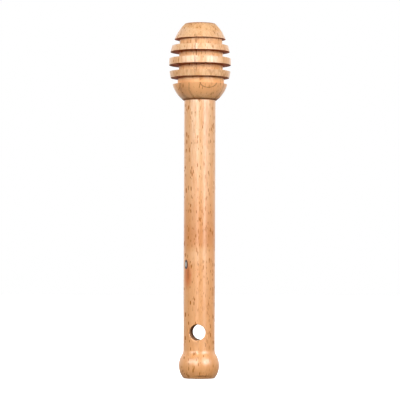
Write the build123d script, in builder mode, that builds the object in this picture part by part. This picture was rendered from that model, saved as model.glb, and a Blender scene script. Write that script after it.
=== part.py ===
from build123d import *
import math
import os

# A wooden honey dipper: a grooved head glued on to the tenon of a turned handle.
# The origin is the centre of the handle's flat foot, and +Z runs up the handle to the head.
# The hanging hole runs along Y. Lengths are in millimetres.

# Handle: a round bar, 14 mm thick, that ends in a ball knob with a flat foot
handle_diameter = 14.0
handle_length = 123.9
knob_diameter = 18.0
knob_centre_height = 5.75
knob_blend_radius = 4.0
foot_edge_radius = 0.4
shoulder_edge_radius = 0.25

# Hanging hole, drilled across the handle above the knob
hole_diameter = 7.0
hole_height = 20.5
hole_edge_radius = 0.35

# Tenon on top of the handle, the head's blind socket round it, and the glue between them
tenon_diameter = 10.0
tenon_length = 16.0
tenon_tip_chamfer = 0.8
glue_thickness = 0.1
socket_end_clearance = 1.0
drill_point_angle = 118.0

# Head, from the neck up: bowl, three discs and cap, as turned before the grooves are cut
neck_step = 0.4
bowl_height = 7.05
bowl_bulge = 0.7
bowl_rim_diameter = 24.4
belly_bulge = 2.0
cap_rim_diameter = 22.8
cap_bulge = 0.45
cap_height = 6.95
cap_top_diameter = 13.7
cap_edge_radius = 1.3
neck_edge_radius = 0.25

# Grooves, cut a little off centre towards +X, and the discs that they leave, from the neck up
groove_width = 2.95
groove_offset = 0.4
lower_disc_thickness = 2.8
middle_disc_thickness = 2.95
upper_disc_thickness = 2.75
first_groove_depth = 1.85
second_groove_depth = 2.4
third_groove_depth = 2.45
fourth_groove_depth = 2.7
rim_edge_radius = 0.45

# How far a cut runs past the surface that it opens
overrun = 2.0

handle_radius = handle_diameter / 2
knob_radius = knob_diameter / 2
tenon_radius = tenon_diameter / 2
tenon_top = handle_length + tenon_length

# Where the ball knob is cut flat, and where it meets the bar
foot_radius = math.sqrt(knob_radius**2 - knob_centre_height**2)
knob_top = knob_centre_height + math.sqrt(knob_radius**2 - handle_radius**2)

socket_radius = tenon_radius + glue_thickness
socket_end = tenon_top + socket_end_clearance
drill_point_length = socket_radius / math.tan(math.radians(drill_point_angle / 2))

neck_radius = handle_radius + neck_step
bowl_rim_radius = bowl_rim_diameter / 2
cap_rim_radius = cap_rim_diameter / 2
cap_top_radius = cap_top_diameter / 2

# Each groove starts on top of the bowl or of the disc below it, and its depth is taken from the bowl's rim
groove_depths = (first_groove_depth, second_groove_depth, third_groove_depth, fourth_groove_depth)
core_radii = [bowl_rim_radius - depth for depth in groove_depths]
groove_floors = [handle_length + bowl_height]
for disc_thickness in (lower_disc_thickness, middle_disc_thickness, upper_disc_thickness):
    groove_floors.append(groove_floors[-1] + groove_width + disc_thickness)
bowl_top = groove_floors[0]
cap_bottom = groove_floors[-1] + groove_width
head_top = cap_bottom + cap_height
groove_reach = max(bowl_rim_radius, cap_rim_radius) + belly_bulge + overrun


def save(piece, name):
    """Labels a finished piece and writes it as one file."""
    piece.label = name
    export_step(piece, f"parts/{name}.step")


os.makedirs("parts", exist_ok=True)

# Handle, turned in one piece with its knob and tenon, then drilled across
with BuildPart() as handle:
    with BuildSketch(Plane.XZ) as handle_section:
        with BuildLine():
            Line((0, 0), (foot_radius, 0))
            ThreePointArc((foot_radius, 0), (knob_radius, knob_centre_height), (handle_radius, knob_top))
            Polyline(
                (handle_radius, knob_top),
                (handle_radius, handle_length),
                (tenon_radius, handle_length),
                (tenon_radius, tenon_top),
                (0, tenon_top),
                (0, 0),
            )
        make_face()
        outline = handle_section.vertices()
        foot_corner = outline.group_by(Axis.Y)[0].sort_by(Axis.X)[-1]
        blend_corner = outline.filter_by_position(Axis.Y, knob_centre_height, hole_height)
        shoulder_corner = outline.group_by(Axis.Y)[-2].sort_by(Axis.X)[-1]
        tip_corner = outline.group_by(Axis.Y)[-1].sort_by(Axis.X)[-1]
        fillet(blend_corner, radius=knob_blend_radius)
        fillet(foot_corner, radius=foot_edge_radius)
        fillet(shoulder_corner, radius=shoulder_edge_radius)
        chamfer(tip_corner, length=tenon_tip_chamfer)
    revolve(axis=Axis.Z)
    with BuildSketch(Plane.XZ):
        with Locations((0, hole_height)):
            Circle(hole_diameter / 2)
    extrude(amount=handle_radius + overrun, both=True, mode=Mode.SUBTRACT)
    hole_rims = handle.edges(Select.LAST).filter_by(GeomType.LINE, reverse=True)
    fillet(hole_rims, radius=hole_edge_radius)

save(handle.part, "handle")

# Head, turned to its outline, drilled up from the neck for the tenon, and grooved
with BuildPart() as head:
    with BuildSketch(Plane.XZ) as head_section:
        with BuildLine():
            Line((0, head_top), (cap_top_radius, head_top))
            SagittaArc((cap_top_radius, head_top), (cap_rim_radius, cap_bottom), cap_bulge)
            SagittaArc((cap_rim_radius, cap_bottom), (bowl_rim_radius, bowl_top), belly_bulge)
            SagittaArc((bowl_rim_radius, bowl_top), (neck_radius, handle_length), bowl_bulge)
            Polyline((neck_radius, handle_length), (0, handle_length), (0, head_top))
        make_face()
        outline = head_section.vertices()
        cap_corner = outline.group_by(Axis.Y)[-1].sort_by(Axis.X)[-1]
        neck_corner = outline.group_by(Axis.Y)[0].sort_by(Axis.X)[-1]
        fillet(cap_corner, radius=cap_edge_radius)
        fillet(neck_corner, radius=neck_edge_radius)
        with BuildLine():
            Polyline(
                (0, handle_length),
                (socket_radius, handle_length),
                (socket_radius, socket_end),
                (0, socket_end + drill_point_length),
                close=True,
            )
        make_face(mode=Mode.SUBTRACT)
    revolve(axis=Axis.Z)
    for groove_floor, core_radius in zip(groove_floors, core_radii):
        with BuildSketch(Plane.XY.offset(groove_floor)):
            Circle(groove_reach)
            with Locations((groove_offset, 0)):
                Circle(core_radius, mode=Mode.SUBTRACT)
        extrude(amount=groove_width, mode=Mode.SUBTRACT)
        groove_ceiling = groove_floor + groove_width
        levels = head.edges().filter_by_position(Axis.Z, groove_floor, groove_ceiling).group_by(Axis.Z)
        lower_rim = levels[0].sort_by(SortBy.LENGTH)[-1]
        upper_rim = levels[-1].sort_by(SortBy.LENGTH)[-1]
        fillet([lower_rim, upper_rim], radius=rim_edge_radius)

save(head.part, "head")

# Glue that fills the socket round the tenon, up to the tenon's chamfer
with BuildPart() as glue_film:
    with BuildSketch(Plane.XY.offset(handle_length)):
        Circle(socket_radius)
        Circle(tenon_radius, mode=Mode.SUBTRACT)
    extrude(amount=tenon_length - tenon_tip_chamfer)

save(glue_film.part, "glue_film")
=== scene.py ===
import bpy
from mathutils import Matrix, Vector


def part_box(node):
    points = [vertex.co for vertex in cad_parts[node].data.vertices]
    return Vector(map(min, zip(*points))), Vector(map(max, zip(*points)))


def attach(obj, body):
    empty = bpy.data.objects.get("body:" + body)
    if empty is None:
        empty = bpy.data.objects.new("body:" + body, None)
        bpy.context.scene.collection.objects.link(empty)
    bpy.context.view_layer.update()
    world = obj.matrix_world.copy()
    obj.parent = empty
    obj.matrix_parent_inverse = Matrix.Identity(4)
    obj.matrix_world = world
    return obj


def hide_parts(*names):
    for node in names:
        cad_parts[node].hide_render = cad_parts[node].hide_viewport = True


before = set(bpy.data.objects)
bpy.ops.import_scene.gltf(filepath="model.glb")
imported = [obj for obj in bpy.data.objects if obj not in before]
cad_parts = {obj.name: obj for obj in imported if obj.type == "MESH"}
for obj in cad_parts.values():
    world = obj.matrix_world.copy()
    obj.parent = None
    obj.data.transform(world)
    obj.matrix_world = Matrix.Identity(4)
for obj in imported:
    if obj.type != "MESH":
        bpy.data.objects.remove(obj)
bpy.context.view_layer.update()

import math
from collections import namedtuple

import bmesh
import bpy
from bpy.props import FloatProperty, FloatVectorProperty, IntProperty, PointerProperty
from mathutils import Quaternion, Vector

bl_info = {
    "name": "Honey Dipper",
    "version": (1, 0, 0),
    "blender": (4, 5, 0),
    "location": "View3D > Sidebar > Honey Dipper",
    "description": "Models a turned beech honey dipper and its studio",
    "category": "Add Mesh",
}

MM = 0.001
BODY = "root"

# Where the pieces meet, as the parts in model.glb give it
HANDLE_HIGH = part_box("handle")[1]
HEAD_LOW, HEAD_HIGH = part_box("head")
GLUE_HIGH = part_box("glue_film")[1]
NECK_HEIGHT = HEAD_LOW.z
HEAD_TOP = HEAD_HIGH.z
TENON_TOP = HANDLE_HIGH.z

# One ring of a turned profile; shift is how far towards +X its centre lies
Ring = namedtuple("Ring", "radius height shift", defaults=(0.0,))

# A local mark in the wood: an ellipsoid, turned about Z, with a soft edge that wanders by a ragged length.
# A hollow one is only the lower half of the ellipsoid's skin.
Mark = namedtuple("Mark", "centre turn size softness ragged colour strength hollow", defaults=(False,))

# How a piece lies in the tree it was cut from, in millimetres: how far the pith is turned from the front,
# how deep it lies, a shift along the rings, the width of a ring, where the rings start and how dark they
# are, and how strongly the wood's tone varies
Blank = namedtuple("Blank", "turn pith shift ring_width ring_start ring_strength contrast")

# Sizes of the wood's features in millimetres: along the rings, out from the pith and up the grain
WANDER_SIZE = (22, 22, 48)
STRIPE_SIZE = (3.2, 3.2, 60)
FIBRE_SIZE = (0.55, 0.55, 4.5)
FADE_SIZE = (2.2, 2.2, 2.6)
RAY_SIZE = (0.44, 1.5, 2.4)

# How far the fibres and the rings wander, in millimetres
FIBRE_WANDER = (3.0, 3.0, 0.0)
RING_WANDER = (0.8, 0.8, 0.0)

# How unevenly the rings lie, as a share of a ring, and how quickly that changes
RING_UNEVENNESS = 0.2
RING_UNEVENNESS_SCALE = 0.21

# What rings, stripes and fibres add to the tone, the tone of the middle colour, and how far the pale and
# the dark colours lie from it
RING_SHARE, STRIPE_SHARE, FIBRE_SHARE = 0.10, 0.7, 0.65
MIDDLE_TONE, PALE_SPAN, DARK_SPAN = 0.70, 0.20, 0.22

# A ray's greatest reach and what all rays lose of it, in shares of a ray's cell; the softness of its edge;
# the depth of a faint one; and how far the lacquer sinks into it
RAY_REACH, RAY_LOSS, RAY_EDGE = 0.6, 0.06, 0.08
FAINT_RAY, RAY_SINK = 0.3, 0.2

# How much of its darkening the end grain takes up; the darkening is partly painted shade for the dark
# undersides of the discs
END_GRAIN_SHADE_SHARE = 0.6

# How the two pieces lie in the tree
HANDLE_BLANK = Blank(
    turn=20, pith=34, shift=3, ring_width=2.6, ring_start=0, ring_strength=0.14, contrast=1)
HEAD_BLANK = Blank(
    turn=25, pith=41, shift=-2, ring_width=1.93, ring_start=0.2, ring_strength=0.2, contrast=0.5)

# The ellipsoid that the grooves' bottoms lie inside and the discs' faces outside, and how much of the
# gloss is lost in it; and how much wider than the hole its bare wood reaches
GROOVE_SIZE = (11.4 * MM, 11.4 * MM, 25 * MM)
GROOVE_DULLNESS = 0.85
BORE_REACH = 1.02

# How finely the pieces are divided: steps along the ball, the hollow, the cap, a disc and the bowl, runs up
# the bar, and steps round a fillet
BALL_STEPS, HOLLOW_STEPS, CAP_STEPS, DISC_STEPS, BOWL_STEPS = 26, 12, 12, 4, 14
BAR_RUNS = 60
FILLET_STEPS, BROAD_FILLET_STEPS, HOLE_FILLET_STEPS = 5, 8, 4

# Height at which the ball's rings start, clear of the foot's rounded rim
BALL_START = 0.9 * MM

# The patch of bar that gives way to the hole: its rows of faces, half its height and its angle; and the
# rings of faces that fill it up and that line the tunnel
WINDOW_ROWS = 14
WINDOW_REACH = 5.2 * MM
WINDOW_ANGLE = math.radians(42)
WINDOW_RINGS, TUNNEL_RINGS = 4, 10

# Points closer than this are one place
SLACK = 0.02 * MM

# The floor: how far it lies below the foot, its colour as a bounce on the wood, its own colour and the
# glow that makes it white
FLOOR_DROP = 0.02 * MM
FLOOR_CUTS = 8
FLOOR_DIM, FLOOR_PAPER = "#504E4C", "#C8C8C8"
PAPER_GLOW = 0.95

# How the mirrored floor and the mirrored surroundings brighten towards the back: the Y from which and up to
# which they do, and the brightness at each; and the light that fills in from all round
FLOOR_FADE = (-0.2, 0.5, 0.06, 0.8)
ROOM_FADE = (-0.6, 0.2, 0.1, 1.0)
FILL_LIGHT = 0.06

# How far the lights stand from the middle of the dipper
LIGHT_DISTANCE = 1.0


def linear(colour):
    """Turns one sRGB hex colour into the linear RGBA that a shader takes."""
    channels = [int(colour[place:place + 2], 16) / 255 for place in (1, 3, 5)]
    bent = [c / 12.92 if c <= 0.04045 else ((c + 0.055) / 1.055) ** 2.4 for c in channels]
    return (*bent, 1.0)


class HandleSizes(bpy.types.PropertyGroup):
    bar_radius: FloatProperty(
        name="Bar radius", description="Radius of the round bar", default=7 * MM, subtype="DISTANCE")
    knob_radius: FloatProperty(
        name="Knob radius", description="Radius of the ball at the lower end",
        default=HANDLE_HIGH.x, subtype="DISTANCE")
    knob_height: FloatProperty(
        name="Knob height", description="Height of the ball's centre above the flat foot",
        default=5.75 * MM, subtype="DISTANCE")
    blend_radius: FloatProperty(
        name="Blend radius", description="Radius of the hollow where the bar runs into the ball",
        default=4 * MM, subtype="DISTANCE")
    foot_rounding: FloatProperty(
        name="Foot rounding", description="Rounding of the foot's rim", default=0.4 * MM, subtype="DISTANCE")
    shoulder_rounding: FloatProperty(
        name="Shoulder rounding", description="Rounding of the bar's top edge, under the head",
        default=0.25 * MM, subtype="DISTANCE")
    hole_radius: FloatProperty(
        name="Hole radius", description="Radius of the hanging hole", default=3.5 * MM, subtype="DISTANCE")
    hole_height: FloatProperty(
        name="Hole height", description="Height of the hole's axis above the foot",
        default=20.5 * MM, subtype="DISTANCE")
    hole_rounding: FloatProperty(
        name="Hole rounding", description="Rounding of the hole's two rims",
        default=0.35 * MM, subtype="DISTANCE")
    tenon_radius: FloatProperty(
        name="Tenon radius", description="Radius of the tenon that the head is glued to",
        default=5 * MM, subtype="DISTANCE")
    tenon_chamfer: FloatProperty(
        name="Tenon chamfer", description="Chamfer round the tenon's tip",
        default=0.8 * MM, subtype="DISTANCE")
    sides: IntProperty(
        name="Sides", description="Faces round the handle, a multiple of four", default=128, min=32)


class HeadSizes(bpy.types.PropertyGroup):
    neck_radius: FloatProperty(
        name="Neck radius", description="Radius of the head where it meets the handle",
        default=7.4 * MM, subtype="DISTANCE")
    bowl_height: FloatProperty(
        name="Bowl height", description="Height of the bowl under the lowest groove",
        default=7.05 * MM, subtype="DISTANCE")
    neck_rounding: FloatProperty(
        name="Neck rounding", description="Rounding of the bowl's lower edge, at the neck",
        default=0.25 * MM, subtype="DISTANCE")
    bowl_rim_radius: FloatProperty(
        name="Bowl rim radius", description="Radius of the bowl's upper rim",
        default=12.2 * MM, subtype="DISTANCE")
    bowl_bulge: FloatProperty(
        name="Bowl bulge", description="How far the bowl's side swells past a straight cone",
        default=0.7 * MM, subtype="DISTANCE")
    belly_bulge: FloatProperty(
        name="Belly bulge", description="How far the discs swell past the bowl and the cap",
        default=2 * MM, subtype="DISTANCE")
    cap_rim_radius: FloatProperty(
        name="Cap rim radius", description="Radius of the cap's lower rim",
        default=11.4 * MM, subtype="DISTANCE")
    cap_top_radius: FloatProperty(
        name="Cap top radius", description="Radius of the cap's flat top, before its edge is rounded",
        default=6.85 * MM, subtype="DISTANCE")
    cap_bulge: FloatProperty(
        name="Cap bulge", description="How far the cap's side swells past a straight cone",
        default=0.45 * MM, subtype="DISTANCE")
    cap_rounding: FloatProperty(
        name="Cap rounding", description="Radius of the cap's rounded top edge",
        default=1.3 * MM, subtype="DISTANCE")
    groove_width: FloatProperty(
        name="Groove width", description="Width of each groove", default=2.95 * MM, subtype="DISTANCE")
    groove_offset: FloatProperty(
        name="Groove offset", description="How far off centre the grooves are cut, towards +X",
        default=0.4 * MM, subtype="DISTANCE")
    disc_thicknesses: FloatVectorProperty(
        name="Disc thicknesses", description="Thickness of each disc, from the lowest up",
        default=(2.8 * MM, 2.95 * MM, 2.75 * MM), size=3, unit="LENGTH")
    core_radii: FloatVectorProperty(
        name="Core radii", description="Radius at the bottom of each groove, from the lowest up",
        default=(10.35 * MM, 9.8 * MM, 9.75 * MM, 9.5 * MM), size=4, unit="LENGTH")
    rim_rounding: FloatProperty(
        name="Rim rounding", description="Radius of the rounded rims beside the grooves",
        default=0.45 * MM, subtype="DISTANCE")
    socket_radius: FloatProperty(
        name="Socket radius", description="Radius of the blind socket in the neck",
        default=GLUE_HIGH.x, subtype="DISTANCE")
    socket_clearance: FloatProperty(
        name="Socket clearance", description="Space over the tenon's tip", default=1 * MM, subtype="DISTANCE")
    drill_point_angle: FloatProperty(
        name="Drill point angle", description="Angle of the cone at the socket's end",
        default=math.radians(118), subtype="ANGLE")
    sides: IntProperty(
        name="Sides", description="Faces round the head", default=192, min=32)


class WoodFinish(bpy.types.PropertyGroup):
    pale: FloatVectorProperty(
        name="Pale wood", description="Colour of the palest early wood",
        default=linear("#F4CEA0")[:3], subtype="COLOR", min=0, max=1)
    middle: FloatVectorProperty(
        name="Middle wood", description="Colour of most of the wood",
        default=linear("#E9B582")[:3], subtype="COLOR", min=0, max=1)
    dark: FloatVectorProperty(
        name="Dark wood", description="Colour of the darkest late wood",
        default=linear("#CD853F")[:3], subtype="COLOR", min=0, max=1)
    fleck: FloatVectorProperty(
        name="Fleck", description="Colour of the rays, which show as short dashes",
        default=linear("#A65C08")[:3], subtype="COLOR", min=0, max=1)
    # The end grain colour is partly painted shade for the undersides of the discs
    end_grain_and_shade: FloatVectorProperty(
        name="End grain", description="Colour of the faces cut across the grain, under and over each disc",
        default=linear("#A04E18")[:3], subtype="COLOR", min=0, max=1)
    # Bare wood in the hanging hole; its darker colour is partly painted shade inside the hole
    shaded_bare_wood: FloatVectorProperty(
        name="Raw wood", description="Colour of the rough, unlacquered wood inside the hanging hole",
        default=linear("#A87C5C")[:3], subtype="COLOR", min=0, max=1)
    ruddy: FloatVectorProperty(
        name="Ruddy wood", description="Colour of the lower half of the handle",
        default=linear("#E8A05E")[:3], subtype="COLOR", min=0, max=1)
    # The bowl's colour is brighter than the rest of the wood: partly its ruddy tone, partly painted light on
    # its down-facing side
    bowl: FloatVectorProperty(
        name="Bowl", description="Colour of the bright, ruddy wood of the bowl",
        default=linear("#F8B476")[:3], subtype="COLOR", min=0, max=1)
    amber: FloatVectorProperty(
        name="Amber wood", description="Colour of the darker band",
        default=linear("#D08038")[:3], subtype="COLOR", min=0, max=1)
    halo: FloatVectorProperty(
        name="Halo", description="Colour of the stained wood beside the knot",
        default=linear("#D06A1E")[:3], subtype="COLOR", min=0, max=1)
    knot_bark: FloatVectorProperty(
        name="Knot bark", description="Colour of the dark rim round the pin knot",
        default=linear("#1C0E0E")[:3], subtype="COLOR", min=0, max=1)
    knot_heart: FloatVectorProperty(
        name="Knot heart", description="Colour of the pin knot's pale middle",
        default=linear("#FFFAF4")[:3], subtype="COLOR", min=0, max=1)
    # Colour of the ring lines and streaks, also used for the painted shade low on the foot
    streak_and_shade: FloatVectorProperty(
        name="Streak", description="Colour of the ring lines and dark streaks",
        default=linear("#94501F")[:3], subtype="COLOR", min=0, max=1)


class StudioSettings(bpy.types.PropertyGroup):
    camera_distance: FloatProperty(
        name="Camera distance", description="Distance from the dipper's axis to the camera",
        default=0.875, subtype="DISTANCE")
    camera_turn: FloatProperty(
        name="Camera turn", description="How far the camera stands round from the front, towards +X",
        default=math.radians(7.2), subtype="ANGLE")
    camera_height: FloatProperty(
        name="Camera height", description="Height of the camera over the floor",
        default=47.5 * MM, subtype="DISTANCE")
    view_height: FloatProperty(
        name="View height", description="Height on the dipper's axis at the middle of the view",
        default=79.35 * MM, subtype="DISTANCE")
    view_offset: FloatProperty(
        name="View offset", description="How far the middle of the view lies to the right of the axis",
        default=0.2 * MM, subtype="DISTANCE")
    photo_scale: FloatProperty(
        name="Photograph scale", description="Length at the dipper's axis that one pixel of the view shows",
        default=0.446 * MM, subtype="DISTANCE")
    photo_pixels: IntProperty(
        name="Photograph size", description="Width and height of the view in pixels", default=400)
    lean: FloatProperty(
        name="Lean", description="How far the dipper leans to the right in the view",
        default=math.radians(0.195), subtype="ANGLE")
    floor_size: FloatProperty(
        name="Floor size", description="Width of the floor", default=6.0, subtype="DISTANCE")


class DipperSettings(bpy.types.PropertyGroup):
    handle: PointerProperty(type=HandleSizes)
    head: PointerProperty(type=HeadSizes)
    wood: PointerProperty(type=WoodFinish)
    studio: PointerProperty(type=StudioSettings)


# Shapes


def circle_through(low, high, bulge):
    """Centre and radius of the arc that leaves two profile points and swells outwards by bulge."""
    chord = math.dist(low, high)
    radius = (chord**2 / 4 + bulge**2) / (2 * bulge)
    inward = radius - bulge
    along = ((high[0] - low[0]) / chord, (high[1] - low[1]) / chord)
    centre_radius = (low[0] + high[0]) / 2 - along[1] * inward
    centre_height = (low[1] + high[1]) / 2 + along[0] * inward
    return centre_radius, centre_height, radius


def radius_on(arc, height):
    """Radius of a turned profile at a height, where it follows an arc."""
    centre_radius, centre_height, radius = arc
    return centre_radius + math.sqrt(radius**2 - (height - centre_height) ** 2)


def rings_on(arc, start, end, steps):
    """Rings along an arc from one height to another, both ends included."""
    heights = [start + (end - start) * step / steps for step in range(steps + 1)]
    return [Ring(radius_on(arc, height), height) for height in heights]


def deselect_all():
    """Leaves no object selected and no mesh in edit mode."""
    if bpy.context.mode != "OBJECT":
        bpy.ops.object.mode_set(mode="OBJECT")
    bpy.ops.object.select_all(action="DESELECT")


def start_blank(name, ring, sides):
    """Adds the flat end of a turned piece and leaves its rim selected in edit mode."""
    deselect_all()
    bpy.ops.mesh.primitive_circle_add(
        vertices=sides, radius=ring.radius, fill_type="TRIFAN", location=(0, 0, ring.height))
    piece = bpy.context.object
    piece.name = piece.data.name = name
    bpy.ops.object.mode_set(mode="EDIT")
    bpy.ops.mesh.select_mode(type="EDGE")
    bpy.ops.mesh.select_all(action="SELECT")
    bpy.ops.mesh.region_to_loop()
    return piece


def turn(rings):
    """Extrudes the selected rim through the rings of a profile, as a lathe tool follows it."""
    for ring, following in zip(rings, rings[1:]):
        move = (following.shift - ring.shift, 0, following.height - ring.height)
        bpy.ops.mesh.extrude_region_move(TRANSFORM_OT_translate={"value": move})
        growth = following.radius / ring.radius
        bpy.ops.transform.resize(value=(growth, growth, 1), center_override=(following.shift, 0, 0))


def close_end(rise):
    """Draws the selected rim to a point on the axis."""
    bpy.ops.mesh.extrude_region_move(TRANSFORM_OT_translate={"value": (0, 0, rise)})
    bpy.ops.mesh.merge(type="CENTER")


def select_edges(piece, chosen):
    """Selects the edges whose two ends a test accepts."""
    bpy.ops.mesh.select_all(action="DESELECT")
    mesh = bmesh.from_edit_mesh(piece.data)
    for edge in mesh.edges:
        if all(chosen(corner.co) for corner in edge.verts):
            edge.select_set(True)
    bmesh.update_edit_mesh(piece.data)


def on_rings(rings, slack=0.01 * MM):
    """A test for points that lie on one of the rings."""
    return lambda point: any(
        abs(point.xy.length - ring.radius) < slack and abs(point.z - ring.height) < slack for ring in rings)


def round_ring(piece, rings, place, radius, segments=FILLET_STEPS):
    """Rounds the sharp edge at one ring of a profile, by the turn that the profile makes there."""
    ring, after = rings[place], rings[place + 1]
    before = rings[place - 1] if place else Ring(0, ring.height)
    coming = math.atan2(ring.height - before.height, ring.radius - before.radius)
    going = math.atan2(after.height - ring.height, after.radius - ring.radius)
    turned = abs((going - coming + math.pi) % math.tau - math.pi)
    select_edges(piece, on_rings([ring]))
    bpy.ops.mesh.bevel(
        offset=radius * math.tan(turned / 2), offset_type="OFFSET", segments=segments, profile=0.5,
        affect="EDGES", clamp_overlap=False)


def finish_piece(piece, material, node, smooth_angle=math.radians(50)):
    """Turns the faces outwards, smooths them and puts the piece in place of its node."""
    bpy.ops.mesh.select_all(action="SELECT")
    bpy.ops.mesh.remove_doubles(threshold=0.001 * MM)
    bpy.ops.mesh.normals_make_consistent(inside=False)
    bpy.ops.object.mode_set(mode="OBJECT")
    bpy.ops.object.transform_apply(location=True, rotation=True, scale=True)
    bpy.ops.object.shade_smooth_by_angle(angle=smooth_angle)
    piece.data.materials.clear()
    piece.data.materials.append(material)
    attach(piece, BODY)
    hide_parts(node)
    piece.select_set(False)


# Materials


def add_node(tree, kind, settings=(), links=()):
    """Adds a shader node, sets its options and sockets, and links its inputs."""
    node = tree.nodes.new(kind)
    for name, value in dict(settings).items():
        if isinstance(name, int) or name in node.inputs:
            node.inputs[name].default_value = value
        else:
            setattr(node, name, value)
    for name, source in dict(links).items():
        tree.links.new(source, node.inputs[name])
    return node


def new_material(name):
    """An empty material and its output node."""
    material = bpy.data.materials.new(name)
    material.use_nodes = True
    material.node_tree.nodes.clear()
    output = add_node(material.node_tree, "ShaderNodeOutputMaterial")
    return material, material.node_tree, output


def ramp(tree, source, stops, interpolation="EASE"):
    """A colour ramp with its stops, each a place and a linear colour."""
    node = add_node(tree, "ShaderNodeValToRGB", links={"Fac": source})
    elements = node.color_ramp.elements
    node.color_ramp.interpolation = interpolation
    while len(elements) < len(stops):
        elements.new(1.0)
    for element, (place, colour) in zip(elements, stops):
        element.position = place
        element.color = colour
    return node


def grey(value):
    return (value, value, value, 1.0)


def calculate(tree, operation, *values):
    """A sum's result; each value is a number or another node's output."""
    numbers = {place: value for place, value in enumerate(values) if isinstance(value, (int, float))}
    outputs = {place: value for place, value in enumerate(values) if place not in numbers}
    return add_node(tree, "ShaderNodeMath", {"operation": operation, **numbers}, outputs).outputs[0]


def remap(tree, source, low, high, to_low=0.0, to_high=1.0, kind="SMOOTHSTEP"):
    """Maps one span of values to another, with soft ends if not told otherwise."""
    return add_node(
        tree, "ShaderNodeMapRange",
        {"interpolation_type": kind, "From Min": low, "From Max": high, "To Min": to_low, "To Max": to_high},
        {"Value": source}).outputs[0]


def blend(tree, amount, colour, shade):
    """Lays a plain colour over a shade by an amount."""
    return add_node(
        tree, "ShaderNodeMix", {"data_type": "RGBA", 7: (*colour, 1)}, {0: amount, 6: shade}).outputs[2]


def scaled_to(tree, source, size):
    """A position divided by a size along each axis."""
    return add_node(
        tree, "ShaderNodeMapping", {"Scale": tuple(1 / length for length in size)},
        {"Vector": source}).outputs[0]


def grain_noise(tree, source, size, detail, roughness=0.5):
    """Noise whose grains have the given size, in millimetres along each axis."""
    return add_node(
        tree, "ShaderNodeTexNoise", {"Scale": 1.0, "Detail": detail, "Roughness": roughness},
        {"Vector": scaled_to(tree, source, size)})


def pushed(tree, source, noise, reach):
    """A position pushed along each axis by a noise, as far as reach says."""
    return add_node(
        tree, "ShaderNodeVectorMath", {"operation": "MULTIPLY_ADD", 1: reach},
        {0: noise.outputs["Color"], 2: source}).outputs[0]


def length_of(tree, vector):
    return add_node(tree, "ShaderNodeVectorMath", {"operation": "LENGTH"}, {0: vector}).outputs["Value"]


def seen_straight(tree, ray):
    """One for a ray from the camera, be it through glass, and nought for a bounce or a mirrored one."""
    return calculate(tree, "MAXIMUM", ray.outputs["Is Camera Ray"], ray.outputs["Is Transmission Ray"])


def mark_mask(tree, source, mark):
    """One inside a mark and nought outside it, with a soft edge."""
    if mark.ragged:
        wander = add_node(
            tree, "ShaderNodeTexNoise", {"Scale": 1 / (2 * mark.ragged), "Detail": 3.0}, {"Vector": source})
        # The noise averages a half, so the centre gives way by half of the ragged length
        wandered = pushed(tree, source, wander, (2 * mark.ragged,) * 3)
        source = add_node(
            tree, "ShaderNodeVectorMath", {"operation": "SUBTRACT", 1: (mark.ragged,) * 3},
            {0: wandered}).outputs[0]
    local = add_node(
        tree, "ShaderNodeMapping",
        {"vector_type": "TEXTURE", "Location": mark.centre, "Rotation": (0, 0, mark.turn),
         "Scale": mark.size},
        {"Vector": source}).outputs[0]
    distance = length_of(tree, local)
    if not mark.hollow:
        return remap(tree, distance, 1 + mark.softness, 1 - mark.softness)
    skin = calculate(tree, "ABSOLUTE", calculate(tree, "SUBTRACT", distance, 1))
    axes = add_node(tree, "ShaderNodeSeparateXYZ", links={"Vector": local})
    below = calculate(tree, "LESS_THAN", axes.outputs["Z"], 0)
    return calculate(tree, "MULTIPLY", remap(tree, skin, mark.softness, 0), below)


def mark_at(turn_degrees, reach, height, size, softness, ragged, colour, strength, hollow=False):
    """A mark whose centre is turned from the front towards +X; its size is deep, across and half its height.

    Lengths are in millimetres, and the mark's depth points at the dipper's axis.
    """
    turned = math.radians(turn_degrees)
    centre = (reach * math.sin(turned) * MM, -reach * math.cos(turned) * MM, height * MM)
    half_sizes = tuple(length * MM for length in size)
    return Mark(centre, turned - math.pi / 2, half_sizes, softness, ragged * MM, colour, strength, hollow)


def handle_marks(wood):
    """The handle's ruddier lower end, its darker band, its pin knot with a stain, and a dark band low on the
    foot, partly a growth line and partly painted shade near the floor.
    """
    return [
        mark_at(0, 0, 10, (60, 60, 90), 0.6, 6, wood.ruddy, 0.75),
        mark_at(-45, 4, 68, (14, 14, 9.5), 0.75, 2.5, wood.amber, 0.45),
        mark_at(-25, 4, 62.3, (14, 11, 5), 0.4, 2, wood.amber, 0.5),
        mark_at(0, 7, 54.5, (5, 4.2, 3.2), 0.8, 1.2, wood.pale, 0.25),
        mark_at(-42, 7, 46, (4, 2.1, 5.2), 0.6, 0.8, wood.halo, 0.85),
        mark_at(-38, 7, 46.4, (4, 0.6, 2.2), 0.6, 0.4, wood.streak_and_shade, 0.5),
        mark_at(-50.3, 7, 50.6, (4, 1.3, 2.1), 0.1, 0.12, wood.knot_bark, 1),
        mark_at(-51, 7, 50.6, (4, 0.38, 1.2), 0.1, 0.05, wood.knot_heart, 1),
        # A dark band low on the foot: partly a growth line, partly painted shade near the floor
        mark_at(20, 7.4, 1.3, (6, 3.2, 0.35), 0.7, 0.4, wood.streak_and_shade, 0.7),
    ]


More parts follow.
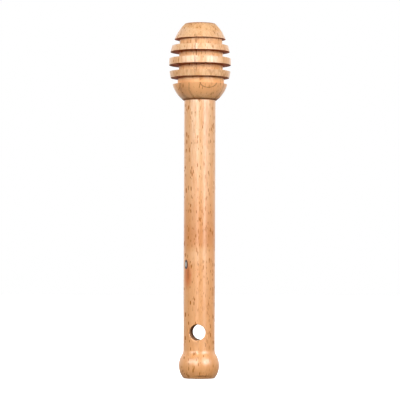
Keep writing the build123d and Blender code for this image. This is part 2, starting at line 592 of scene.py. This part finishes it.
def head_marks(wood):
    """The ruddier bowl, painted brighter in part as painted light on its down-facing side, with a stain on
    its left, the dark line down the discs, and the bowl's ring lines.
    """
    return [
        # The bowl's bright ruddy colour, partly painted light where the bowl faces down
        mark_at(0, 0, 128.8, (40, 40, 3.6), 0.5, 1, wood.bowl, 0.85),
        mark_at(-34, 10.5, 128.5, (4, 2.8, 3.4), 0.8, 0.8, wood.streak_and_shade, 0.25),
        mark_at(-2.5, 12, 143, (6, 0.3, 8.5), 0.4, 0.4, wood.streak_and_shade, 0.7),
        mark_at(26, 10, 131, (60, 3.8, 2.2), 0.14, 0.25, wood.streak_and_shade, 0.7, True),
        mark_at(26, 10, 131, (60, 8.2, 8.2), 0.05, 0.5, wood.streak_and_shade, 0.4, True),
        mark_at(26, 10, 131, (60, 11, 8.7), 0.045, 0.5, wood.streak_and_shade, 0.45, True),
    ]


def beech(name, wood, blank, marks, bore=None, thin=None):
    """Beech, turned, sanded and given a clear satin lacquer: warm tan with rings, dashes and soft gloss.

    The bore is bare and rough, its darker colour partly painted shade inside the hole, and where the lacquer
    lies thin the wood has less gloss.
    """
    material, tree, output = new_material(name)
    place = add_node(tree, "ShaderNodeTexCoord").outputs["Object"]
    # Millimetres, turned so that X runs along the growth rings and Y away from the pith
    grain = add_node(
        tree, "ShaderNodeMapping",
        {"Scale": (1 / MM,) * 3, "Rotation": (0, 0, -math.radians(blank.turn)),
         "Location": (blank.shift, 0, 0)},
        {"Vector": place}).outputs[0]
    wander = grain_noise(tree, grain, WANDER_SIZE, 2.0)
    bent = pushed(tree, grain, wander, FIBRE_WANDER)
    # Growth rings: distance from the pith in ring widths, each ring darkening towards its edge
    flat = add_node(
        tree, "ShaderNodeVectorMath", {"operation": "MULTIPLY_ADD", 1: (1, 1, 0), 2: (0, blank.pith, 0)},
        {0: pushed(tree, grain, wander, RING_WANDER)})
    distance = length_of(tree, flat.outputs[0])
    uneven = add_node(
        tree, "ShaderNodeTexNoise", {"noise_dimensions": "1D", "Scale": RING_UNEVENNESS_SCALE, "Detail": 1.0},
        {"W": distance})
    rings = calculate(tree, "MULTIPLY_ADD", distance, 1 / blank.ring_width, blank.ring_start)
    years = calculate(tree, "MULTIPLY_ADD", uneven.outputs["Fac"], RING_UNEVENNESS, rings)
    season = calculate(tree, "FRACT", years)
    late_wood = ramp(
        tree, season, [(0.0, grey(0.1)), (0.55, grey(0.2)), (0.86, grey(1.0)), (0.96, grey(0.0))], "LINEAR")
    # The tone adds up the rings, soft stripes along the grain and short fibres
    stripes = grain_noise(tree, bent, STRIPE_SIZE, 4.0, 0.6).outputs["Fac"]
    fibres = grain_noise(tree, bent, FIBRE_SIZE, 2.0, 0.6).outputs["Fac"]
    tone = calculate(tree, "MULTIPLY", late_wood.outputs["Color"], RING_SHARE)
    tone = calculate(tree, "MULTIPLY_ADD", stripes, STRIPE_SHARE, tone)
    tone = calculate(tree, "MULTIPLY_ADD", fibres, FIBRE_SHARE, tone)
    pale_tone = MIDDLE_TONE - PALE_SPAN / blank.contrast
    dark_tone = min(MIDDLE_TONE + DARK_SPAN / blank.contrast, 1.0)
    colour = ramp(
        tree, tone,
        [(pale_tone, (*wood.pale, 1)), (MIDDLE_TONE, (*wood.middle, 1)), (dark_tone, (*wood.dark, 1))],
        "LINEAR")
    # A thin dark line ends each ring, and fades here and there
    ring_line = ramp(
        tree, season, [(0.78, grey(0.0)), (0.90, grey(blank.ring_strength)), (0.97, grey(0.0))], "LINEAR")
    shown = remap(tree, grain_noise(tree, grain, FADE_SIZE, 1.0).outputs["Fac"], 0.36, 0.58)
    broken = calculate(tree, "MULTIPLY", ring_line.outputs["Color"], shown)
    shade = blend(tree, broken, wood.streak_and_shade, colour.outputs["Color"])
    for mark in marks:
        amount = calculate(tree, "MULTIPLY", mark_mask(tree, place, mark), mark.strength)
        shade = blend(tree, amount, mark.colour, shade)
    # Rays: short spindles that show as dashes; each has a reach and a depth of its own
    rays = add_node(
        tree, "ShaderNodeTexVoronoi", {"Scale": 1.0, "Randomness": 1.0},
        {"Vector": scaled_to(tree, bent, RAY_SIZE)})
    chance = add_node(tree, "ShaderNodeSeparateColor", links={"Color": rays.outputs["Color"]})
    reach = calculate(tree, "MULTIPLY_ADD", chance.outputs[0], RAY_REACH, -RAY_LOSS)
    dash = remap(tree, calculate(tree, "SUBTRACT", reach, rays.outputs["Distance"]), 0, RAY_EDGE)
    # Some rays are dark and most are faint
    darkest = FAINT_RAY + (1 - FAINT_RAY) * blank.contrast
    depth = remap(tree, chance.outputs[1], 0.2, 0.9, 0.5 * FAINT_RAY, darkest)
    strength = calculate(tree, "MULTIPLY", dash, depth)
    shade = blend(tree, strength, wood.fleck, shade)
    # The lacquer sinks a little into the rays and fibres
    relief = calculate(tree, "MULTIPLY_ADD", dash, -RAY_SINK, fibres)
    bump = add_node(tree, "ShaderNodeBump", {"Strength": 0.1, "Distance": 0.03 * MM}, {"Height": relief})
    roughness = remap(tree, fibres, 0, 1, 0.44, 0.60, "LINEAR")
    # Faces across the grain soak up the lacquer, so they have hardly any gloss; their darker colour is partly
    # the end grain's own and partly painted shade for the dark undersides of the discs
    facing = add_node(tree, "ShaderNodeNewGeometry")
    slope = add_node(tree, "ShaderNodeSeparateXYZ", links={"Vector": facing.outputs["Normal"]})
    end_grain_and_shade = remap(tree, calculate(tree, "ABSOLUTE", slope.outputs["Z"]), 0.75, 0.97)
    shade = blend(tree, calculate(tree, "MULTIPLY", end_grain_and_shade, END_GRAIN_SHADE_SHARE), wood.end_grain_and_shade, shade)
    dull = calculate(tree, "MAXIMUM", end_grain_and_shade, strength)
    if thin:
        inner = calculate(tree, "MULTIPLY", mark_mask(tree, place, thin), thin.strength)
        dull = calculate(tree, "MAXIMUM", dull, inner)
    lacquer = remap(tree, dull, 0, 1, 1, 0, "LINEAR")
    shine = remap(tree, dull, 0, 1, 0.3, 0.03, "LINEAR")
    surface = add_node(
        tree, "ShaderNodeBsdfPrincipled", {"IOR": 1.5, "Coat Roughness": 0.28, "Coat IOR": 1.5},
        {"Base Color": shade, "Roughness": roughness, "Normal": bump.outputs[0],
         "Coat Weight": lacquer, "Specular IOR Level": shine})
    if bore:
        # The drill leaves the hole's wall rough and bare, so it has no gloss; its dark colour is partly
        # painted shade inside the hole
        bare = add_node(tree, "ShaderNodeBsdfDiffuse", {"Color": (*bore.colour, 1), "Roughness": 1.0})
        surface = add_node(
            tree, "ShaderNodeMixShader",
            links={0: mark_mask(tree, place, bore), 1: surface.outputs[0], 2: bare.outputs[0]})
    tree.links.new(surface.outputs[0], output.inputs["Surface"])
    return material


# Operators


class HONEY_OT_handle(bpy.types.Operator):
    """Turn the handle with its ball knob and tenon, and drill its hanging hole"""

    bl_idname = "honey.handle"
    bl_label = "Handle"

    def execute(self, context):
        sizes = context.scene.honey_dipper.handle
        # The ball, the hollow blend above it, and where one runs into the other
        ball = (0, sizes.knob_height, sizes.knob_radius)
        hollow_centre = sizes.bar_radius + sizes.blend_radius
        hollow_rise = math.sqrt((sizes.knob_radius + sizes.blend_radius) ** 2 - hollow_centre**2)
        hollow_height = sizes.knob_height + hollow_rise
        share = sizes.knob_radius / (sizes.knob_radius + sizes.blend_radius)
        meeting_height = sizes.knob_height + hollow_rise * share
        foot_radius = radius_on(ball, 0)
        rings = [Ring(foot_radius, 0)]
        rings += rings_on(ball, BALL_START, meeting_height, BALL_STEPS)
        for step in range(1, HOLLOW_STEPS + 1):
            height = meeting_height + (hollow_height - meeting_height) * step / HOLLOW_STEPS
            inset = math.sqrt(sizes.blend_radius**2 - (hollow_height - height) ** 2)
            rings.append(Ring(hollow_centre - inset, height))
        window_low = sizes.hole_height - WINDOW_REACH
        window_high = sizes.hole_height + WINDOW_REACH
        rings += [Ring(sizes.bar_radius, (hollow_height + window_low) / 2)]
        rings += [
            Ring(sizes.bar_radius, window_low + (window_high - window_low) * row / WINDOW_ROWS)
            for row in range(WINDOW_ROWS + 1)]
        rings += [
            Ring(sizes.bar_radius, window_high + (NECK_HEIGHT - window_high) * run / BAR_RUNS)
            for run in range(1, BAR_RUNS + 1)]
        shoulder = len(rings) - 1
        tip_height = TENON_TOP - sizes.tenon_chamfer
        rings += [Ring(sizes.tenon_radius, NECK_HEIGHT), Ring(sizes.tenon_radius, tip_height)]
        rings += [Ring(sizes.tenon_radius - sizes.tenon_chamfer, TENON_TOP)]
        piece = start_blank("turned_handle", rings[0], sizes.sides)
        turn(rings)
        close_end(0)
        round_ring(piece, rings, 0, sizes.foot_rounding)
        round_ring(piece, rings, shoulder, sizes.shoulder_rounding)
        self.drill(piece, sizes, window_low, window_high)
        wood = context.scene.honey_dipper.wood
        # The hole's bare wall, darker in part as painted shade inside the hole
        bare_radius = BORE_REACH * sizes.hole_radius
        bore = Mark((0, 0, sizes.hole_height), 0, (bare_radius, 1, bare_radius), 0.02, 0, wood.shaded_bare_wood, 1.0)
        material = beech("lacquered_beech_handle", wood, HANDLE_BLANK, handle_marks(wood), bore)
        finish_piece(piece, material, "handle")
        return {"FINISHED"}

    def drill(self, piece, sizes, low, high):
        """Opens a window on each side, fits a round rim to it and joins the rims by a tunnel."""
        columns = 2 * round(sizes.sides * WINDOW_ANGLE / math.tau)
        rim_corners = 2 * (columns + WINDOW_ROWS)
        half_angle = math.tau * columns / 2 / sizes.sides
        half_width = sizes.bar_radius * math.sin(half_angle)

        def in_window(point):
            return abs(point.x) < half_width + SLACK and low - SLACK < point.z < high + SLACK

        def on_bar(point):
            return abs(point.xy.length - sizes.bar_radius) < SLACK

        bpy.ops.mesh.select_all(action="DESELECT")
        mesh = bmesh.from_edit_mesh(piece.data)
        for face in mesh.faces:
            if all(in_window(corner.co) and on_bar(corner.co) for corner in face.verts):
                face.select_set(True)
        bmesh.update_edit_mesh(piece.data)
        bpy.ops.mesh.delete(type="FACE")
        for side in (-1, 1):
            bpy.ops.mesh.select_all(action="DESELECT")
            bpy.ops.mesh.primitive_circle_add(
                vertices=rim_corners, radius=sizes.hole_radius,
                location=(0, side * sizes.bar_radius, sizes.hole_height), rotation=(math.pi / 2, 0, 0))
            mesh = bmesh.from_edit_mesh(piece.data)
            for corner in mesh.verts:
                if corner.select:
                    corner.co.y = side * math.sqrt(sizes.bar_radius**2 - corner.co.x**2)
            bmesh.update_edit_mesh(piece.data)

            def border(point):
                """The window's border and the round rim on this side."""
                return point.y * side > 0 and in_window(point) and on_bar(point)

            mesh = bmesh.from_edit_mesh(piece.data)
            for edge in mesh.edges:
                open_edge = edge.is_boundary or edge.is_wire
                edge.select_set(open_edge and all(border(corner.co) for corner in edge.verts))
            bmesh.update_edit_mesh(piece.data)
            bpy.ops.mesh.bridge_edge_loops(number_cuts=WINDOW_RINGS, interpolation="LINEAR")
            mesh = bmesh.from_edit_mesh(piece.data)
            for corner in mesh.verts:
                if in_window(corner.co) and corner.co.y * side > 0:
                    lift = sizes.bar_radius / corner.co.xy.length
                    corner.co.x *= lift
                    corner.co.y *= lift
            bmesh.update_edit_mesh(piece.data)
        bpy.ops.mesh.select_all(action="DESELECT")
        bpy.ops.mesh.select_non_manifold(extend=False)
        bpy.ops.mesh.bridge_edge_loops(number_cuts=TUNNEL_RINGS, interpolation="LINEAR")

        def on_rim(point):
            across = math.hypot(point.x, point.z - sizes.hole_height)
            return on_bar(point) and abs(across - sizes.hole_radius) < SLACK

        select_edges(piece, on_rim)
        bpy.ops.mesh.bevel(
            offset=sizes.hole_rounding, offset_type="OFFSET", segments=HOLE_FILLET_STEPS, profile=0.5,
            affect="EDGES")


class HONEY_OT_head(bpy.types.Operator):
    """Turn the grooved head and drill its socket"""

    bl_idname = "honey.head"
    bl_label = "Head"

    def execute(self, context):
        sizes = context.scene.honey_dipper.head
        floors = [NECK_HEIGHT + sizes.bowl_height]
        for thickness in sizes.disc_thicknesses:
            floors.append(floors[-1] + sizes.groove_width + thickness)
        cap_bottom = floors[-1] + sizes.groove_width
        neck = Ring(sizes.neck_radius, NECK_HEIGHT)
        bowl_rim = Ring(sizes.bowl_rim_radius, floors[0])
        cap_rim = Ring(sizes.cap_rim_radius, cap_bottom)
        cap_top = Ring(sizes.cap_top_radius, HEAD_TOP)
        bowl = circle_through(neck, bowl_rim, sizes.bowl_bulge)
        belly = circle_through(bowl_rim, cap_rim, sizes.belly_bulge)
        cap = circle_through(cap_rim, cap_top, sizes.cap_bulge)
        clear = 2 * sizes.rim_rounding
        cap_start = HEAD_TOP - sizes.cap_rounding
        rings = [cap_top, *rings_on(cap, cap_start, cap_bottom + clear, CAP_STEPS), cap_rim]
        rims = [cap_rim]
        for place in reversed(range(len(floors))):
            floor, core_radius = floors[place], sizes.core_radii[place]
            rings += [
                Ring(core_radius, floor + sizes.groove_width, sizes.groove_offset),
                Ring(core_radius, floor, sizes.groove_offset)]
            if place:
                disc = rings_on(belly, floor, floors[place - 1] + sizes.groove_width, DISC_STEPS)
                rings += disc
                rims += [disc[0], disc[-1]]
        rings += [bowl_rim, *rings_on(bowl, floors[0] - clear, NECK_HEIGHT + clear, BOWL_STEPS), neck]
        rims.append(bowl_rim)
        socket_end = TENON_TOP + sizes.socket_clearance
        rings += [Ring(sizes.socket_radius, NECK_HEIGHT), Ring(sizes.socket_radius, socket_end)]
        piece = start_blank("turned_head", rings[0], sizes.sides)
        turn(rings)
        close_end(sizes.socket_radius / math.tan(sizes.drill_point_angle / 2))
        round_ring(piece, rings, 0, sizes.cap_rounding, BROAD_FILLET_STEPS)
        round_ring(piece, rings, rings.index(neck), sizes.neck_rounding)
        for rim in rims:
            round_ring(piece, rings, rings.index(rim), sizes.rim_rounding)
        wood = context.scene.honey_dipper.wood
        centre = (sizes.groove_offset, 0, (floors[0] + cap_bottom) / 2)
        grooves = Mark(centre, 0, GROOVE_SIZE, 0.02, 0, wood.middle, GROOVE_DULLNESS)
        material = beech("lacquered_beech_head", wood, HEAD_BLANK, head_marks(wood), thin=grooves)
        finish_piece(piece, material, "head")
        return {"FINISHED"}


class HONEY_OT_glue(bpy.types.Operator):
    """Give the film of glue in the joint its material"""

    bl_idname = "honey.glue"
    bl_label = "Glue"

    def execute(self, context):
        # Wood glue, brushed on and dried: an amber, slightly cloudy film
        material, tree, output = new_material("dried_wood_glue")
        place = add_node(tree, "ShaderNodeTexCoord")
        cloud = add_node(
            tree, "ShaderNodeTexNoise", {"Scale": 1 / (1.5 * MM), "Detail": 3.0},
            {"Vector": place.outputs["Object"]})
        colour = ramp(tree, cloud.outputs["Fac"], [(0.3, linear("#E8D9A8")), (0.7, linear("#CFAE66"))])
        surface = add_node(
            tree, "ShaderNodeBsdfPrincipled", {"IOR": 1.46, "Roughness": 0.3},
            {"Base Color": colour.outputs["Color"]})
        tree.links.new(surface.outputs[0], output.inputs["Surface"])
        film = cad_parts["glue_film"]
        film.data.materials.clear()
        film.data.materials.append(material)
        return {"FINISHED"}


class HONEY_OT_studio(bpy.types.Operator):
    """Set up the floor, the lights, the white surroundings and the camera"""

    bl_idname = "honey.studio"
    bl_label = "Studio"

    def execute(self, context):
        settings = context.scene.honey_dipper.studio
        self.floor(settings)
        self.surroundings(context)
        self.lights()
        self.camera(context, settings)
        context.scene.view_settings.view_transform = "Standard"
        return {"FINISHED"}

    def floor(self, settings):
        """A plain white floor, on which the dipper's shadow is faint."""
        deselect_all()
        # A hair below the foot, so that the two faces do not share one plane
        bpy.ops.mesh.primitive_plane_add(size=settings.floor_size, location=(0, 0, -FLOOR_DROP))
        floor = bpy.context.object
        floor.name = "studio_floor"
        bpy.ops.object.mode_set(mode="EDIT")
        bpy.ops.mesh.subdivide(number_cuts=FLOOR_CUTS)
        bpy.ops.object.mode_set(mode="OBJECT")
        # Pale paper: white where the camera sees it, fading towards the camera where the lacquer mirrors it,
        # and dim as a bounce on the wood, so that the undersides of the discs stay dark
        material, tree, output = new_material("matt_white_floor")
        dim = add_node(tree, "ShaderNodeBsdfDiffuse", {"Color": linear(FLOOR_DIM), "Roughness": 1.0})
        paper = add_node(tree, "ShaderNodeBsdfDiffuse", {"Color": linear(FLOOR_PAPER), "Roughness": 1.0})
        glow = add_node(tree, "ShaderNodeEmission", {"Color": (1, 1, 1, 1), "Strength": PAPER_GLOW})
        lit = add_node(tree, "ShaderNodeAddShader", links={0: paper.outputs[0], 1: glow.outputs[0]})
        spot = add_node(tree, "ShaderNodeNewGeometry")
        parts = add_node(tree, "ShaderNodeSeparateXYZ", links={"Vector": spot.outputs["Position"]})
        behind = remap(tree, parts.outputs["Y"], *FLOOR_FADE, "LINEAR")
        mirrored = add_node(tree, "ShaderNodeEmission", {"Color": (1, 1, 1, 1)}, {"Strength": behind})
        ray = add_node(tree, "ShaderNodeLightPath")
        seen = add_node(
            tree, "ShaderNodeMixShader",
            links={0: seen_straight(tree, ray), 1: dim.outputs[0], 2: lit.outputs[0]})
        shown = add_node(
            tree, "ShaderNodeMixShader",
            links={0: ray.outputs["Is Glossy Ray"], 1: seen.outputs[0], 2: mirrored.outputs[0]})
        tree.links.new(shown.outputs[0], output.inputs["Surface"])
        floor.data.materials.append(material)
        floor.select_set(False)

    def surroundings(self, context):
        """White where it is seen, mirrored white at the sides and back, and a faint fill light elsewhere."""
        world = bpy.data.worlds.new("white_studio")
        world.use_nodes = True
        tree = world.node_tree
        tree.nodes.clear()
        ray = add_node(tree, "ShaderNodeLightPath")
        # The room behind the camera is dark, so the lacquer mirrors white only from the sides and the back
        direction = add_node(tree, "ShaderNodeTexCoord")
        parts = add_node(tree, "ShaderNodeSeparateXYZ", links={"Vector": direction.outputs["Generated"]})
        sides = remap(tree, parts.outputs["Y"], *ROOM_FADE, "LINEAR")
        mirrored = calculate(tree, "MULTIPLY", sides, ray.outputs["Is Glossy Ray"])
        shown = calculate(tree, "MAXIMUM", seen_straight(tree, ray), mirrored)
        strength = calculate(tree, "MAXIMUM", shown, FILL_LIGHT)
        white = add_node(tree, "ShaderNodeBackground", {"Color": (1, 1, 1, 1)}, {"Strength": strength})
        output = add_node(tree, "ShaderNodeOutputWorld")
        tree.links.new(white.outputs[0], output.inputs["Surface"])
        context.scene.world = world

    def lights(self):
        """A broad softbox on each side, and strips and small lamps that only the lacquer mirrors."""
        self.softbox("left_softbox", -40, 18, (1.0, 0.36), 8.8)
        self.softbox("right_softbox", 46, 18, (0.9, 0.36), 9.0)
        for name, turned, rise, size, power in (
                ("left_strip", -14, 15, (0.24, 0.62), 3.4), ("right_strip", 38, 15, (0.22, 0.62), 4.2),
                ("left_lamp", -15, 36, (0.2, 0.16), 1.5), ("right_lamp", 34, 38, (0.16, 0.16), 0.9)):
            self.softbox(name, turned, rise, size, power).visible_diffuse = False
        # The back is lit a little less than the front; neither the camera nor the lacquer sees these
        for name, turned in (("back_left_softbox", -145), ("back_right_softbox", 150)):
            box = self.softbox(name, turned, 20, (0.8, 0.5), 5.5)
            box.visible_camera = box.visible_glossy = False

    def softbox(self, name, turn_degrees, rise_degrees, size, power):
        """Adds a rectangular light that faces the middle of the dipper, and returns it.

        It is turned from the camera towards +X; its size is in metres and its power in watts.
        """
        settings = bpy.context.scene.honey_dipper.studio
        turned = settings.camera_turn + math.radians(turn_degrees)
        rise = math.radians(rise_degrees)
        target = Vector((0, 0, settings.view_height))
        back = Vector((math.sin(turned) * math.cos(rise), -math.cos(turned) * math.cos(rise), math.sin(rise)))
        bpy.ops.object.light_add(type="AREA", location=target + back * LIGHT_DISTANCE)
        light = bpy.context.object
        light.name = light.data.name = name
        light.data.shape = "RECTANGLE"
        light.data.size, light.data.size_y = size
        light.data.energy = power
        light.rotation_mode = "QUATERNION"
        light.rotation_quaternion = (-back).to_track_quat("-Z", "Y")
        return light

    def camera(self, context, settings):
        """A long lens, low on the dipper and tilted up a little to take in the head."""
        out = Vector((math.sin(settings.camera_turn), -math.cos(settings.camera_turn), 0))
        place = out * settings.camera_distance + Vector((0, 0, settings.camera_height))
        back = (place - Vector((0, 0, settings.view_height))).normalized()
        bpy.ops.object.camera_add(location=place)
        camera = bpy.context.object
        camera.name = "photograph_camera"
        view_width = settings.photo_pixels * settings.photo_scale
        camera.data.sensor_width = 36
        camera.data.lens = camera.data.sensor_width * settings.camera_distance / view_width
        camera.data.shift_x = settings.view_offset / view_width
        camera.rotation_mode = "QUATERNION"
        aimed = (-back).to_track_quat("-Z", "Y")
        camera.rotation_quaternion = aimed @ Quaternion((0, 0, 1), settings.lean)
        camera.data.clip_start = 0.01
        context.scene.camera = camera


class HONEY_PT_panel(bpy.types.Panel):
    """Lists the steps that make the dipper and its studio"""

    bl_idname = "HONEY_PT_panel"
    bl_label = "Honey Dipper"
    bl_space_type = "VIEW_3D"
    bl_region_type = "UI"
    bl_category = "Honey Dipper"

    def draw(self, context):
        settings = context.scene.honey_dipper
        for part, operators in PANEL_ROWS:
            box = self.layout.box()
            group = getattr(settings, part)
            for name in group.__annotations__:
                box.prop(group, name)
            for operator in operators:
                box.operator(operator)


PANEL_ROWS = (
    ("handle", ("honey.handle",)),
    ("head", ("honey.head",)),
    ("wood", ("honey.glue",)),
    ("studio", ("honey.studio",)),
)

CLASSES = (
    HandleSizes, HeadSizes, WoodFinish, StudioSettings, DipperSettings,
    HONEY_OT_handle, HONEY_OT_head, HONEY_OT_glue, HONEY_OT_studio, HONEY_PT_panel,
)


def register():
    for kind in CLASSES:
        bpy.utils.register_class(kind)
    bpy.types.Scene.honey_dipper = PointerProperty(type=DipperSettings)


def unregister():
    del bpy.types.Scene.honey_dipper
    for kind in reversed(CLASSES):
        bpy.utils.unregister_class(kind)


def main():
    register()
    bpy.ops.honey.handle()
    bpy.ops.honey.head()
    bpy.ops.honey.glue()
    bpy.ops.honey.studio()


if __name__ == "__main__":
    main()
